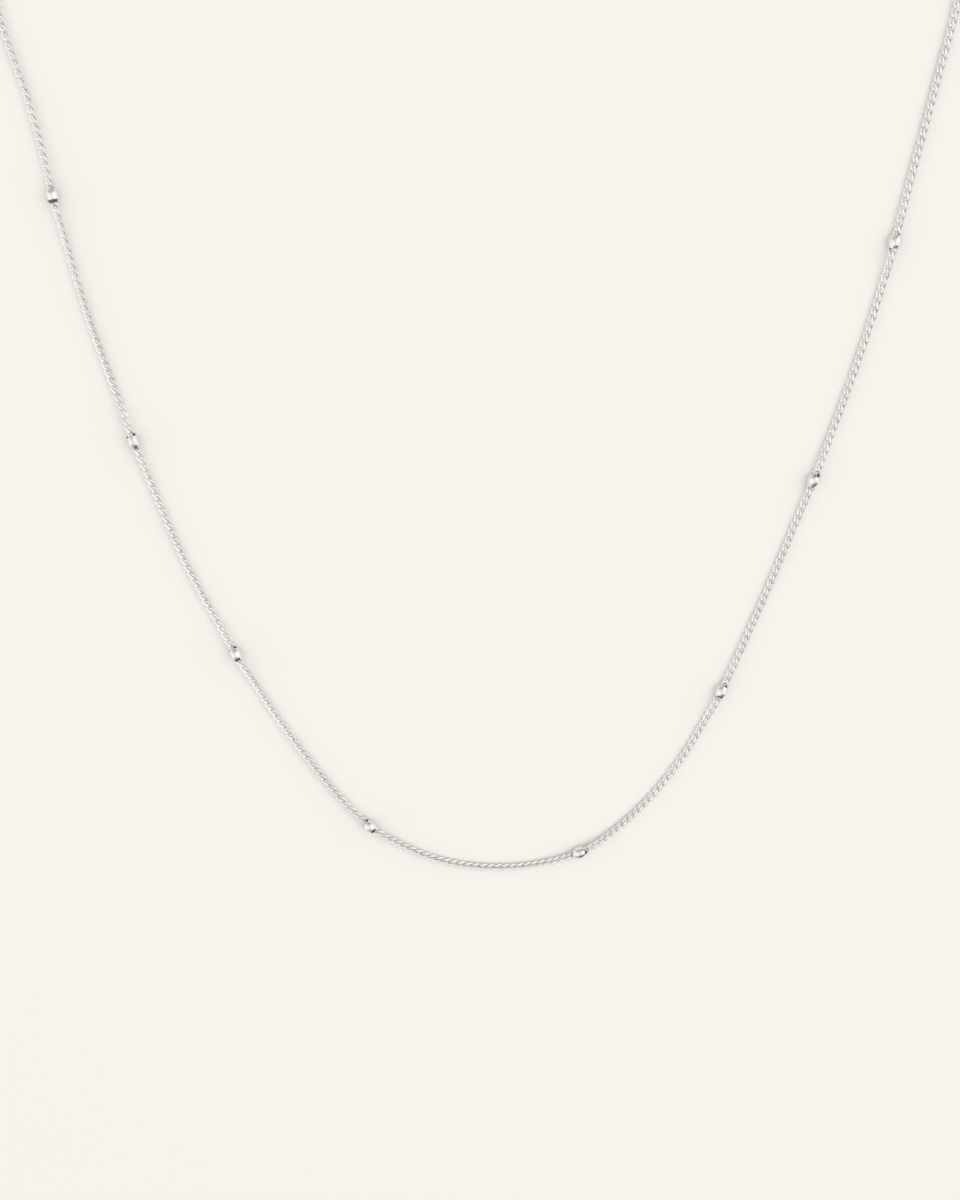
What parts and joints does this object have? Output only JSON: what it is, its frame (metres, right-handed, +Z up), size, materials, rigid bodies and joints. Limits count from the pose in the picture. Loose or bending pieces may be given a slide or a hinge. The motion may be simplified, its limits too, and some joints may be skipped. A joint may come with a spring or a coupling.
{
  "type": "beaded chain necklace",
  "caption": "Fine silver curb chain necklace with small round beads at even steps, lying in an open loop, closed by a plain ring clasp.",
  "frame": {"origin": "middle of the loop's box on the surface that the necklace lies on", "axes": "+Z up from the surface, +Y from the low point of the curve to the clasp, +X to the picture's right"},
  "size_m": [0.1081, 0.1787, 0.0019],
  "materials": {
    "chain_silver": "polished silver wire, very fine curb links",
    "bead_silver": "mirror-polished silver",
    "clasp_silver": "polished silver wire"
  },
  "bodies": {
    "root": {"chain": "chain_silver", "bead_01": "bead_silver", "bead_02": "bead_silver", "bead_03": "bead_silver", "bead_04": "bead_silver", "bead_05": "bead_silver", "bead_06": "bead_silver", "bead_07": "bead_silver", "bead_08": "bead_silver", "bead_09": "bead_silver", "bead_10": "bead_silver", "bead_11": "bead_silver", "bead_12": "bead_silver", "bead_13": "bead_silver", "bead_14": "bead_silver", "end_ring_left": "clasp_silver", "end_ring_right": "clasp_silver", "clasp": "clasp_silver"}
  },
  "joints": []
}
